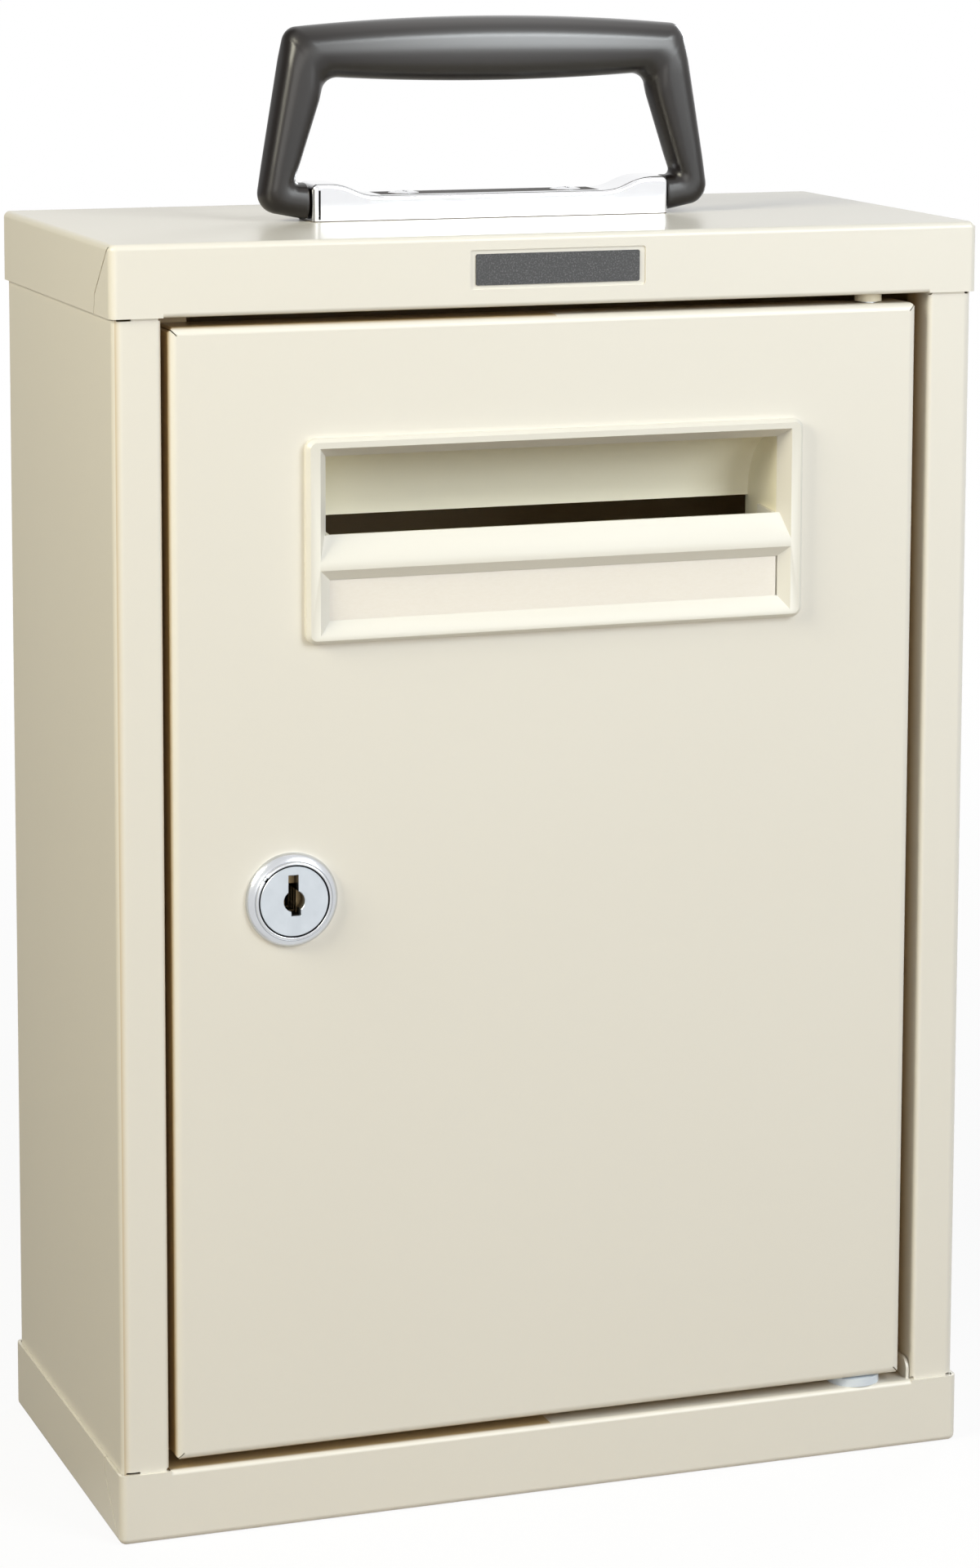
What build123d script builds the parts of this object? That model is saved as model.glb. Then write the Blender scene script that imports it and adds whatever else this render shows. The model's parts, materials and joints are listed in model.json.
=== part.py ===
from build123d import *
import os

os.makedirs("parts", exist_ok=True)

# Steel suggestion box: X runs left to right, the door faces -Y, Z is up.
# The origin is under the middle of the base. All sizes are in millimetres.

# Folded steel box
box_width = 230.0
box_depth = 110.0
box_height = 326.0      # to the top of the upper cap, without the handle
sheet = 0.8
cap_flange = 18.0       # how far both caps wrap over the body
cap_corner = 2.0        # outer bend at the caps' upright corners
cap_fold = 1.6          # outer bend along the caps' edges
shell_bend = 2.4
stile_bend = 1.2
wrap_gap = 0.05         # paint gap between the caps and the body
stile_width = 13.0      # front strips either side of the door
stop_reach = 9.9        # flange that the lock cam catches
ledge_depth = 16.0      # sill and header, folded in from the caps
ledge_bend = 1.2
ledge_gap = 0.3
relief_length = 3.6     # slits at the left stile's ends
relief_short = 1.2      # and at the right stile's ends
relief_height = 0.6
relief_inset = 1.0      # from the body's side
corner_relief = 0.8     # small holes at the stiles' inner corners
seam_gap = 0.5
seam_start = 0.65       # from the cap's plate
tab_reach = 14.6        # corner tab of a cap, wrapped round onto the side
tab_shoulder = 13.0
tab_taper = 1.0
stand_tab_height = 5.4
stand_tab_depth = 9.0
stand_tab_corner = 3.0

# Wall fixing holes in the back
wall_hole = 6.0
wall_spacing_x = 160.0
wall_spacing_z = 200.0
wall_above_middle = 7.0

# Door
door_setback = 0.3
door_depth = 13.2
door_bend = 2.0
door_corner_cut = 1.2
mitre_gap = 0.3         # between the door's flanges at each corner
latch_gap = 1.7
hinge_gap = 3.7
header_gap = 2.5
sill_gap = 2.3
stop_gap = 0.5

# Door pivots
pivot_from_edge = 10.8
pivot_from_face = 6.7
pin_diameter = 5.0
pin_clearance = 0.08    # radial
pin_reach = 5.0         # beyond the door's flange
pin_head = 8.0
pin_head_height = 1.4
washer_diameter = 14.0
washer_flange_gap = 0.3
bush_diameter = 7.0

# Slot bezel, a plastic moulding on the door
bezel_width = 132.4
bezel_height = 51.1
bezel_from_top = 74.35  # its middle under the box's top
bezel_proud = 2.5
bezel_corner = 2.6
bezel_edge = 0.9
side_bar = 3.4
top_bar = 2.4
bottom_bar = 2.1
middle_bar = 2.1
card_window = 16.3      # height at the face
card_bevel_low = 3.5    # the card window's bevels: below, above and at the ends
card_bevel_high = 2.6
card_bevel_end = 2.9
window_bevel = 2.5
window_depth = 3.9      # the slot's bevels run on through the door
top_bevel = 2.4
lip_rise = 6.3
lip_depth = 3.0
fin_reach = 10.0        # thin guides behind the lip's ends
fin_rise = 0.75
fin_wall = 0.8
fin_foot = 2.0
peg_diameter = 2.4
peg_from_edge = 1.9
peg_fit = 0.1
upper_peg_drop = 2.0
lower_peg_rise = 23.2

# Curved hood behind the slot
hood_radius = 17.0
hood_wall = 1.4
hood_flange = 1.2
hood_margin = 6.6
hood_top_margin = 4.4
hood_low_margin = 2.0
hood_lead = 3.2         # flat run before the curve
hood_fit = 0.2
hood_skirt = 0.5        # straight edge under the curve

# Retaining clips on the bezel's pegs
clip_diameter = 4.8
clip_thickness = 0.4
peg_tip = 0.6

# Name card in the lower window
card_thickness = 0.3
card_fit = 0.2
card_lap = 1.4          # hidden behind the window's edges
card_end_gap = 1.8      # the card is a little short at its right end

# Cam lock
lock_from_edge = 30.4   # its centre from the door's free edge
lock_below_middle = 0.9
lock_bezel = 23.8
lock_rim = 19.6
lock_proud = 2.8
lock_edge = 0.5
lock_barrel = 19.0
lock_flats = 16.6
lock_fit = 0.15
index_angle = 35.0      # small notch in the rim
index_size = 1.0
plug_face = 17.8
plug_face_gap = 0.25
plug_face_depth = 2.0
plug_diameter = 14.0
plug_clearance = 0.08
key_bore = 5.6
key_slot = 2.4
key_slot_rise = 6.0
key_slot_drop = 3.8
key_depth = 12.5
wafer_count = 4
wafer_thickness = 0.8
wafer_pitch = 2.2
wafer_width = 8.4
wafer_height = 12.6
wafer_fit = 0.1
wafer_window_width = 3.0
wafer_window_height = 7.7
wafer_step = 0.4        # every other window sits higher
lock_washer_diameter = 24.0
lock_washer_thickness = 0.5
lock_nut_flats = 24.0
lock_nut_thickness = 3.0
thread_gap = 0.05
cam_thickness = 2.0
cam_gap = 0.4           # behind the stop flange
cam_reach = 29.4
cam_hub = 14.0
cam_tip = 10.0
cam_square = 6.5
cam_fit = 0.05
cam_screw_diameter = 4.0
cam_screw_head = 8.0
cam_screw_head_height = 2.2
cam_screw_length = 6.0
cam_washer_diameter = 9.0
cam_washer_thickness = 0.8

# Screw heads, as shares of the head
head_rounding = 0.6
recess_length = 0.55
recess_width = 0.14
recess_depth = 0.5

# Bare name plate in its embossed seat
plate_width = 43.4
plate_height = 7.8
plate_thickness = 0.35
plate_z_from_top = 8.6
plate_corner = 0.5
seat_margin = 1.6       # at the plate's ends
seat_margin_high = 1.0  # above and below it
seat_depth = 0.4

# Handle saddle
saddle_length = 97.4
saddle_depth = 13.0
saddle_end_height = 9.8
saddle_mid_height = 6.6
saddle_end_flat = 4.0
saddle_slope = 14.5
saddle_wall = 1.0
saddle_round = 1.2
saddle_corner = 1.6     # bend at the ends' upper corners
slit_width = 0.55       # open joint between an end and a side wall
slit_inset = 1.5
slit_drop = 1.7
slit_foot = 0.6
handle_screw_spacing = 44.5
handle_screw_diameter = 4.0
handle_screw_head = 8.0
handle_screw_head_height = 0.9
handle_screw_tail = 1.0
handle_washer_diameter = 9.0
handle_washer_thickness = 0.8
handle_nut_flats = 7.0
handle_nut_thickness = 3.2

# Handle bail
grip_depth = 13.2       # front to back at the crown
foot_depth = 10.8       # front to back at the feet, which are round below
grip_fold_gap = 0.5     # under the feet
bail_height = 51.9      # crown over the cap
crown_rise = 2.6
grip_thickness = 14.1
grip_belly = 1.5
leg_gap = 3.2           # between a leg and the saddle's end
leg_foot_width = 9.4
leg_knee = 1.9          # over the saddle's end
outer_lean = 7.3        # how far a leg's sides lean in towards the grip
inner_lean = 8.2
toe_gap = 0.3           # between a foot's inward turn and the saddle
toe_round = 2.6
toe_edge = 0.6
shoulder_round = 4.3
inner_round = 5.0
grip_round = 4.0
handle_pin_diameter = 3.0
handle_pin_head_height = 1.2
handle_pin_reach = 6.6
handle_pin_end_gap = 0.3

# Places worked out from the sizes above
front_y = -box_depth / 2
half_width = box_width / 2
shell_half_x = half_width - sheet - wrap_gap
shell_half_y = box_depth / 2 - sheet - wrap_gap
opening_half = half_width - stile_width
wall_centre_z = box_height / 2 + wall_above_middle
header_z = box_height - cap_flange
sill_z = cap_flange
ledge_half = opening_half - ledge_gap
ledge_back_y = front_y + ledge_depth

door_front_y = front_y + door_setback
door_skin_y = door_front_y + sheet
door_back_y = door_front_y + door_depth
door_left = -opening_half + latch_gap
door_right = opening_half - hinge_gap
door_bottom = sill_z + sill_gap
door_top = header_z - header_gap
stop_y = door_back_y + stop_gap
pivot_x = door_right - pivot_from_edge
pivot_y = door_front_y + pivot_from_face

bezel_front_y = door_front_y - bezel_proud
bezel_centre_z = box_height - bezel_from_top
bezel_bottom = bezel_centre_z - bezel_height / 2
bezel_top = bezel_centre_z + bezel_height / 2
window_half = bezel_width / 2 - side_bar
throat_half = window_half - window_bevel
card_low = bezel_bottom + bottom_bar
card_high = card_low + card_window
window_low = card_high + middle_bar
window_high = bezel_top - top_bar
throat_high = window_high - top_bevel
lip_z = window_low + lip_rise
lip_foot_z = window_low + hood_fit
throat_y = bezel_front_y + window_depth
peg_x = bezel_width / 2 - peg_from_edge
peg_high = bezel_top - upper_peg_drop
peg_low = bezel_bottom + lower_peg_rise
neck_half = throat_half + hood_wall
neck_high = throat_high + hood_wall
hood_back_y = door_skin_y + hood_flange
hood_foot_z = throat_high - hood_radius - hood_skirt
arc_y = door_front_y + hood_lead
peg_end_y = hood_back_y + clip_thickness + peg_tip
card_seat_y = door_front_y - card_thickness - card_fit
card_view_half = window_half - card_bevel_end
card_view_low = card_low + card_bevel_low
card_view_high = card_high - card_bevel_high
card_z = (card_view_low + card_view_high) / 2
card_pocket_half = card_view_half + card_lap
card_width = 2 * card_pocket_half - card_fit - card_end_gap
card_height = card_view_high - card_view_low + 2 * card_lap - 2 * card_fit

lock_x = door_left + lock_from_edge
lock_z = box_height / 2 - lock_below_middle
cam_front_y = stop_y + sheet + cam_gap
lock_front_y = door_front_y - lock_proud
plug_back_y = cam_front_y - cam_gap / 4
lock_back_y = plug_back_y - cam_gap
cam_back_y = cam_front_y + cam_thickness
washer_back_y = cam_back_y + cam_washer_thickness

cap_under_z = box_height - sheet
pivot_rise = foot_depth / 2 + grip_fold_gap
pivot_z = box_height + pivot_rise
handle_pin_head = 2 * (saddle_end_height - saddle_corner - pivot_rise - thread_gap)
saddle_half = saddle_length / 2
leg_inner_foot = saddle_half + leg_gap
leg_outer_foot = leg_inner_foot + leg_foot_width
bail_top_half = leg_outer_foot - outer_lean
leg_inner_top = leg_inner_foot - inner_lean
knee_z = box_height + saddle_end_height + leg_knee
crown_z = box_height + bail_height


def block(x0, x1, y0, y1, z0, z1):
    """A box between two corners."""
    centre = Pos((x0 + x1) / 2, (y0 + y1) / 2, (z0 + z1) / 2)
    return centre * Box(x1 - x0, y1 - y0, z1 - z0)


def rod_x(diameter, y, z, x0, x1):
    return Pos((x0 + x1) / 2, y, z) * Rot(0, 90, 0) * Cylinder(diameter / 2, x1 - x0)


def rod_y(diameter, x, z, y0, y1):
    return Pos(x, (y0 + y1) / 2, z) * Rot(90, 0, 0) * Cylinder(diameter / 2, y1 - y0)


def rod_z(diameter, x, y, z0, z1):
    return Pos(x, y, (z0 + z1) / 2) * Cylinder(diameter / 2, z1 - z0)


def front_prism(sketch, y0, y1):
    """A front-view sketch (X, Z) given depth from y0 back to y1."""
    return extrude(Plane.XZ.offset(-y1) * sketch, amount=y1 - y0)


def side_prism(sketch, x0, x1):
    """A side-view sketch (Y, Z) given width from x0 to x1."""
    return extrude(Plane.YZ.offset(x0) * sketch, amount=x1 - x0)


def folded_strip(points, bends):
    """Section of sheet bent square: the painted face follows the points, the steel lies to its right."""
    corners = [Vector(*point) for point in points]
    steps = [(after - here).normalized() for here, after in zip(corners, corners[1:])]
    rights = [Vector(step.Y, -step.X) * sheet for step in steps]
    backs = [corners[0] + rights[0]]
    back_bends = []
    for n, bend in enumerate(bends):
        backs.append(corners[n + 1] + rights[n] + rights[n + 1])
        back_bends.append(bend + steps[n].cross(steps[n + 1]).Z * sheet)
    backs.append(corners[-1] + rights[-1])
    face_line = FilletPolyline(*corners, radius=bends)
    back_line = FilletPolyline(*backs, radius=back_bends)
    ends = [Line(corners[n], backs[n]) for n in (0, -1)]
    return make_face([*face_line.edges(), *back_line.edges(), *[end.edge() for end in ends]])


def hexagon(flats):
    return RegularPolygon(flats / 2, 6, major_radius=False)


# Body: one sheet folded into back, sides, stiles and returns

def body_shell():
    side = shell_half_x
    front = -shell_half_y
    points = [
        (stop_reach - opening_half, stop_y),
        (-opening_half, stop_y),
        (-opening_half, front),
        (-side, front),
        (-side, -front),
        (side, -front),
        (side, front),
        (opening_half, front),
        (opening_half, stop_y),
    ]
    inner_bend = stile_bend - sheet
    bends = [inner_bend, stile_bend] + [shell_bend] * 4 + [stile_bend]
    section = folded_strip(points, bends)
    low = cap_fold + wrap_gap
    shell = Pos(0, 0, low) * extrude(section, amount=box_height - 2 * low)
    for z0, z1 in ((0, sill_z + ledge_gap), (header_z - ledge_gap, box_height)):
        shell -= block(-opening_half, 0, stop_y - ledge_gap, stop_y + 2 * sheet, z0, z1)
    for z in (sill_z + relief_height / 2, header_z - relief_height / 2):
        for x, length in ((-1, relief_length), (1, relief_short)):
            centre = x * (side - relief_inset - length / 2)
            slit = SlotOverall(length, relief_height)
            shell -= front_prism(Pos(centre, z) * slit, front - sheet, front + 2 * sheet)
            corner = x * (opening_half + corner_relief / 2)
            shell -= rod_y(corner_relief, corner, z, front - sheet, front + 2 * sheet)
    for x in (-1, 1):
        for z in (-1, 1):
            hole_z = wall_centre_z + z * wall_spacing_z / 2
            hole_x = x * wall_spacing_x / 2
            shell -= rod_y(wall_hole, hole_x, hole_z, -front - 2 * sheet, -front + sheet)
    return shell


# Caps: two pressed trays with wrapped corner tabs

def tray(width, depth, corner, fold):
    """A rounded block with the plate side down."""
    solid = Pos(0, 0, cap_flange / 2) * Box(width, depth, cap_flange)
    solid = fillet(solid.edges().filter_by(Axis.Z), corner)
    return fillet(solid.faces().sort_by(Axis.Z)[0].edges(), fold)


def corner_seams():
    """The joint lines where the front flange's tabs lie on the sides."""
    line = Polyline(
        (front_y + cap_corner, seam_start),
        (front_y + tab_reach, tab_shoulder),
        (front_y + tab_reach + tab_taper, cap_flange + 1),
    )
    cut = trace(line, line_width=seam_gap)
    edge = half_width - sheet - wrap_gap / 2
    return side_prism(cut, edge, half_width + 1) + side_prism(cut, -half_width - 1, -edge)


def folded_cap():
    """A cap with its plate at the bottom and its ledge folded in behind the flange."""
    inside = tray(box_width - 2 * sheet, box_depth - 2 * sheet, cap_corner - sheet, cap_fold - sheet)
    cap = tray(box_width, box_depth, cap_corner, cap_fold) - Pos(0, 0, sheet) * inside
    root = cap_flange / 2
    section = folded_strip(
        [(front_y, root), (front_y, cap_flange), (ledge_back_y, cap_flange)], [ledge_bend])
    skin_y = front_y + sheet
    cap -= block(-ledge_half, ledge_half, front_y - 1, skin_y + ledge_bend, root, cap_flange + 1)
    cap += side_prism(section, -ledge_half, ledge_half)
    return cap - corner_seams()


def bottom_cap():
    cap = folded_cap()
    tab_end = ledge_half - sheet
    tab_front = front_y + ledge_bend + sheet
    tab = RectangleRounded(stand_tab_depth, 2 * stand_tab_height, stand_tab_corner)
    tab = Pos(tab_front + stand_tab_depth / 2, sill_z) * tab
    cap += side_prism(tab, tab_end, ledge_half) - block(
        tab_end - 1, ledge_half + 1, front_y, 0, 0, sill_z - sheet / 2)
    return cap - rod_z(pin_diameter, pivot_x, pivot_y, sill_z - 2 * sheet, sill_z + sheet)


def top_cap():
    cap = Pos(0, 0, box_height) * mirror(folded_cap(), about=Plane.XY)
    plate_z = box_height - plate_z_from_top
    seat_width = plate_width + 2 * seat_margin
    seat_height = plate_height + 2 * seat_margin_high
    floor_y = front_y + seat_depth
    pad = Pos(0, plate_z) * RectangleRounded(seat_width + 2 * sheet, seat_height + 2 * sheet, 2 * sheet)
    dent = Pos(0, plate_z) * RectangleRounded(seat_width, seat_height, sheet)
    cap += front_prism(pad, front_y + sheet, floor_y + sheet)
    cap -= front_prism(dent, front_y - 1, floor_y)
    cap -= rod_z(pin_diameter, pivot_x, pivot_y, header_z - sheet, header_z + 2 * sheet)
    for x in screw_places():
        hole = handle_screw_diameter + 2 * thread_gap
        cap -= rod_z(hole, x, 0, cap_under_z - 1, box_height + 1)
    return cap


def name_plate():
    back = front_y + seat_depth
    sketch = RectangleRounded(plate_width, plate_height, plate_corner)
    centre = Pos(0, box_height - plate_z_from_top)
    return front_prism(centre * sketch, back - plate_thickness, back)


# Door pivots, staked into the sill and header

def hinge_pin_bottom():
    seat = sill_z - sheet
    head = rod_z(pin_head, pivot_x, pivot_y, seat - pin_head_height, seat)
    return head + rod_z(pin_diameter, pivot_x, pivot_y, seat, door_bottom + pin_reach)


def hinge_pin_top():
    seat = header_z + sheet
    head = rod_z(pin_head, pivot_x, pivot_y, seat, seat + pin_head_height)
    return head + rod_z(pin_diameter, pivot_x, pivot_y, door_top - pin_reach, seat)


def collar(diameter, z0, z1):
    bore = pin_diameter + 2 * pin_clearance
    ring = rod_z(diameter, pivot_x, pivot_y, z0, z1)
    return ring - rod_z(bore, pivot_x, pivot_y, z0 - 1, z1 + 1)


def hinge_washer():
    return collar(washer_diameter, sill_z, door_bottom - washer_flange_gap)


def hinge_bush():
    return collar(bush_diameter, door_top + washer_flange_gap, header_z)


# Door: a pressed tray with open corners

def door_panel():
    centre_x = (door_left + door_right) / 2
    centre_z = (door_bottom + door_top) / 2
    width = door_right - door_left
    height = door_top - door_bottom
    solid = block(door_left, door_right, door_front_y, door_back_y, door_bottom, door_top)
    solid = fillet(solid.faces().sort_by(Axis.Y)[0].edges(), door_bend)
    hollow = block(
        door_left + sheet, door_right - sheet, door_skin_y, door_back_y + door_bend,
        door_bottom + sheet, door_top - sheet)
    door = solid - fillet(hollow.faces().sort_by(Axis.Y)[0].edges(), door_bend - sheet)
    outline = chamfer(Rectangle(width, height).vertices(), door_corner_cut)
    door &= front_prism(Pos(centre_x, centre_z) * outline, door_front_y, door_back_y)
    for x in (door_left, door_right):
        for z in (door_bottom, door_top):
            turn = 45 if (x < centre_x) == (z < centre_z) else -45
            mitre = Pos(x, z) * Rot(0, 0, turn) * Rectangle(2 * 2 ** 0.5 * door_bend, mitre_gap)
            door -= front_prism(mitre, door_front_y - 1, door_back_y + 1)
    door -= block(
        -neck_half - hood_fit, neck_half + hood_fit, door_front_y - 1, door_skin_y + 1,
        lip_foot_z - hood_fit, neck_high + hood_fit)
    for x, z in peg_places():
        door -= rod_y(peg_diameter + 2 * peg_fit, x, z, door_front_y - 1, door_skin_y + 1)
    door -= front_prism(lock_outline(lock_fit), door_front_y - 1, door_skin_y + 1)
    bore = pin_diameter + 2 * pin_clearance
    for z in (door_bottom, door_top):
        door -= rod_z(bore, pivot_x, pivot_y, z - 2 * sheet, z + 2 * sheet)
    return door


# Slot bezel: two bevelled windows, a sloping lip, and pegs through the door

def peg_places():
    return [(x * peg_x, z) for x in (-1, 1) for z in (peg_low, peg_high)]


def bevelled_window(low, high, seat_half, seat_low, seat_high, seat_y):
    """A tapering hole from the bezel's face back to its seat."""
    face = Pos(0, (low + high) / 2) * Rectangle(2 * window_half, high - low)
    seat = Pos(0, (seat_low + seat_high) / 2) * Rectangle(2 * seat_half, seat_high - seat_low)
    return loft([Plane.XZ.offset(-bezel_front_y) * face, Plane.XZ.offset(-seat_y) * seat], ruled=True)


def slot_neck(grow):
    """The part of the bezel that passes through the door around the slot."""
    half = neck_half + grow
    return block(-half, half, door_front_y - 1, throat_y, lip_foot_z - grow, neck_high + grow)


def slot_bezel():
    frame = RectangleRounded(bezel_width, bezel_height, bezel_corner)
    bezel = front_prism(Pos(0, bezel_centre_z) * frame, bezel_front_y, door_front_y)
    bezel = chamfer(bezel.faces().sort_by(Axis.Y)[0].edges(), bezel_edge) + slot_neck(0)
    slope_z = window_low + lip_rise * window_depth / lip_depth
    bezel -= bevelled_window(window_low, window_high, throat_half, slope_z, throat_high, throat_y)
    bezel -= bevelled_window(lip_z, window_high, throat_half, lip_z, throat_high, throat_y)
    window = bevelled_window(card_low, card_high, card_view_half, card_view_low, card_view_high, card_seat_y)
    pocket = Pos(0, card_z) * Rectangle(2 * card_pocket_half, card_height + 2 * card_fit)
    bezel -= window + front_prism(pocket, card_seat_y, door_front_y)
    fin = make_face(Polyline(
        (throat_y - fin_wall, lip_z - fin_foot),
        (throat_y - fin_wall, lip_z),
        (throat_y, lip_z),
        (throat_y + fin_reach, lip_z + fin_rise),
        (throat_y + fin_reach, lip_z - fin_foot),
        close=True,
    ))
    fin_out = throat_half - hood_fit
    bezel += side_prism(fin, fin_out - fin_wall, fin_out) + side_prism(fin, -fin_out, fin_wall - fin_out)
    for x, z in peg_places():
        bezel += rod_y(peg_diameter, x, z, door_front_y - 1, peg_end_y)
    return bezel


def name_card():
    left = card_fit - card_pocket_half
    low = card_z - card_height / 2
    front = door_front_y - card_thickness
    return block(left, left + card_width, front, door_front_y, low, low + card_height)


# Slot hood: flat cheeks and a curved back that turns letters down into the box

def hood_section(radius, high):
    """Side view of the hood's outer or inner surface, open at the front and below."""
    top_left = (throat_y, high)
    arc_top = (arc_y, high)
    arc_end = (arc_y + radius, high - radius)
    foot = (arc_y + radius, lip_foot_z)
    front_foot = (throat_y, lip_foot_z)
    outline = Polyline(arc_end, foot, front_foot, top_left, arc_top)
    return make_face(outline + RadiusArc(arc_top, arc_end, radius))


def slot_hood():
    outer_radius = hood_radius + hood_wall
    outer = side_prism(hood_section(outer_radius, neck_high), -neck_half, neck_half)
    inner = side_prism(hood_section(hood_radius, throat_high), -throat_half, throat_half)
    flange_half = neck_half + hood_margin
    flange = block(
        -flange_half, flange_half, door_skin_y, hood_back_y,
        lip_foot_z - hood_low_margin, neck_high + hood_top_margin)
    back_y = arc_y + outer_radius
    hood = outer + (flange - slot_neck(hood_fit)) - inner
    hood -= block(-throat_half, throat_half, arc_y, back_y + 1, lip_foot_z - 1, hood_foot_z)
    for x, z in peg_places():
        hood -= rod_y(peg_diameter + 2 * peg_fit, x, z, door_skin_y - 1, hood_back_y + 1)
    return hood


def bezel_clips():
    clips = []
    for x, z in peg_places():
        disc = rod_y(clip_diameter, x, z, hood_back_y, hood_back_y + clip_thickness)
        clips.append(disc - rod_y(peg_diameter, x, z, hood_back_y - 1, peg_end_y + 1))
    return Compound(children=clips)


# Cam lock

def lock_outline(grow):
    """Round barrel section with two flats that stop it turning in the door."""
    barrel = Circle(lock_barrel / 2 + grow)
    flats = Rectangle(lock_barrel + 1, lock_flats + 2 * grow)
    return Pos(lock_x, lock_z) * (barrel & flats)


def lock_body():
    rim = Cone(lock_bezel / 2, lock_rim / 2, lock_proud - lock_edge)
    rim_y = (lock_front_y + door_front_y - lock_edge) / 2
    body = Pos(lock_x, rim_y, lock_z) * Rot(90, 0, 0) * rim
    body += rod_y(lock_bezel, lock_x, lock_z, door_front_y - lock_edge, door_front_y)
    body += front_prism(lock_outline(0), door_front_y - lock_edge, lock_back_y)
    recess = plug_face + 2 * plug_face_gap
    floor_y = lock_front_y + plug_face_depth + plug_clearance
    body -= rod_y(recess, lock_x, lock_z, lock_front_y - 1, floor_y)
    bore = plug_diameter + 2 * plug_clearance
    body -= rod_y(bore, lock_x, lock_z, lock_front_y, lock_back_y + 1)
    notch = Pos(lock_x, lock_front_y, lock_z) * Rot(0, index_angle, 0) * Pos(-lock_rim / 2, 0, 0)
    return body - notch * Box(1.5 * index_size, index_size, index_size)


def lock_washer():
    ring = rod_y(lock_washer_diameter, lock_x, lock_z, door_skin_y, door_skin_y + lock_washer_thickness)
    return ring - front_prism(lock_outline(thread_gap), door_skin_y - 1, door_skin_y + 2)


def lock_nut():
    start = door_skin_y + lock_washer_thickness
    nut = front_prism(Pos(lock_x, lock_z) * hexagon(lock_nut_flats), start, start + lock_nut_thickness)
    return nut - rod_y(lock_barrel + 2 * thread_gap, lock_x, lock_z, start - 1, lock_back_y)


def wafer_places():
    """Y of each wafer's middle, from the front."""
    first = lock_front_y + plug_face_depth + wafer_pitch
    return [first + wafer_pitch * n for n in range(wafer_count)]


def keyway():
    """The key hole: a round bore, a tall slot and a short notch under it."""
    low = -key_slot_drop
    slot = Pos(0, (key_slot_rise + low) / 2) * Rectangle(key_slot, key_slot_rise - low)
    return Pos(lock_x, lock_z) * (Circle(key_bore / 2) + slot)


def lock_plug():
    face_back = lock_front_y + plug_face_depth
    plug = rod_y(plug_face, lock_x, lock_z, lock_front_y, face_back)
    plug += rod_y(plug_diameter, lock_x, lock_z, face_back, plug_back_y)
    square = Pos(lock_x, lock_z) * Rectangle(cam_square, cam_square)
    plug += front_prism(square, plug_back_y, cam_back_y - cam_fit)
    plug -= front_prism(keyway(), lock_front_y - 1, lock_front_y + key_depth)
    for y in wafer_places():
        half = wafer_thickness / 2 + wafer_fit
        chamber = Pos(lock_x, lock_z) * Rectangle(wafer_width + 2 * wafer_fit, wafer_height)
        bore = rod_y(plug_diameter - 1, lock_x, lock_z, y - 1, y + 1)
        plug -= front_prism(chamber, y - half, y + half) & bore
    screw_end = washer_back_y - cam_screw_length
    return plug - rod_y(cam_screw_diameter, lock_x, lock_z, screw_end, cam_back_y + 1)


def lock_wafers():
    wafers = []
    for n, y in enumerate(wafer_places()):
        plate = Rectangle(wafer_width, wafer_height - 2 * wafer_fit)
        window = Pos(0, wafer_step * (n % 2)) * Rectangle(wafer_window_width, wafer_window_height)
        half = wafer_thickness / 2
        wafer = front_prism(Pos(lock_x, lock_z) * (plate - window), y - half, y + half)
        wafers.append(wafer & rod_y(plug_diameter - 1 - wafer_fit, lock_x, lock_z, y - 1, y + 1))
    return Compound(children=[solid for wafer in wafers for solid in wafer.solids()])


def lock_cam():
    """The latch arm, at rest straight up and clear of the stop flange."""
    hub = Circle(cam_hub / 2)
    tip = Pos(0, cam_reach - cam_tip / 2) * Circle(cam_tip / 2)
    arm = make_hull(hub.edges() + tip.edges())
    cut = cam_square + 2 * cam_fit
    arm = Pos(lock_x, lock_z) * (arm - Rectangle(cut, cut))
    return front_prism(arm, cam_front_y, cam_back_y)


def cam_washer():
    bore = cam_screw_diameter + 2 * thread_gap
    ring = rod_y(cam_washer_diameter, lock_x, lock_z, cam_back_y, washer_back_y)
    return ring - rod_y(bore, lock_x, lock_z, cam_back_y - 1, washer_back_y + 1)


def cross_recess(diameter, depth):
    """A cross recess for a screw head, centred on its top face."""
    bar = Box(diameter * recess_length, diameter * recess_width, 2 * depth)
    return bar + Rot(0, 0, 90) * bar


def pan_screw(diameter, head, head_height, length):
    """A pan-head screw along Z with its seat at 0 and its shank below."""
    cap = Pos(0, 0, head_height / 2) * Cylinder(head / 2, head_height)
    cap = fillet(cap.edges().sort_by(Axis.Z)[-1], head_height * head_rounding)
    shank = Pos(0, 0, -length / 2) * Cylinder(diameter / 2, length)
    return cap + shank - Pos(0, 0, head_height) * cross_recess(head, head_height * recess_depth)


def cam_screw():
    screw = pan_screw(cam_screw_diameter, cam_screw_head, cam_screw_head_height, cam_screw_length)
    return Pos(lock_x, washer_back_y, lock_z) * Rot(-90, 0, 0) * screw


# Carrying handle: a pressed saddle screwed to the cap, and a bail that folds either way

def screw_places():
    return [-handle_screw_spacing / 2, handle_screw_spacing / 2]


def saddle_half_outline(inset):
    """Upper edge of the saddle's right half, from its end to its middle."""
    end = saddle_half - inset
    high = saddle_end_height - inset
    low = saddle_mid_height - inset
    slope_out = saddle_half - saddle_end_flat - inset / 2
    slope_in = slope_out - saddle_slope
    middle = (slope_out + slope_in) / 2
    curve = Bezier((slope_out, high), (middle, high), (middle, low), (slope_in, low))
    end_line = FilletPolyline((end, -inset), (end, high), (slope_out, high), radius=saddle_corner - inset)
    return end_line + curve


def saddle_face(inset):
    right = saddle_half_outline(inset)
    left = mirror(right, about=Plane.YZ)
    ridge = Line(right @ 1, left @ 1)
    foot = Line(right @ 0, left @ 0)
    return make_face(right + left + ridge + foot)


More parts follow.
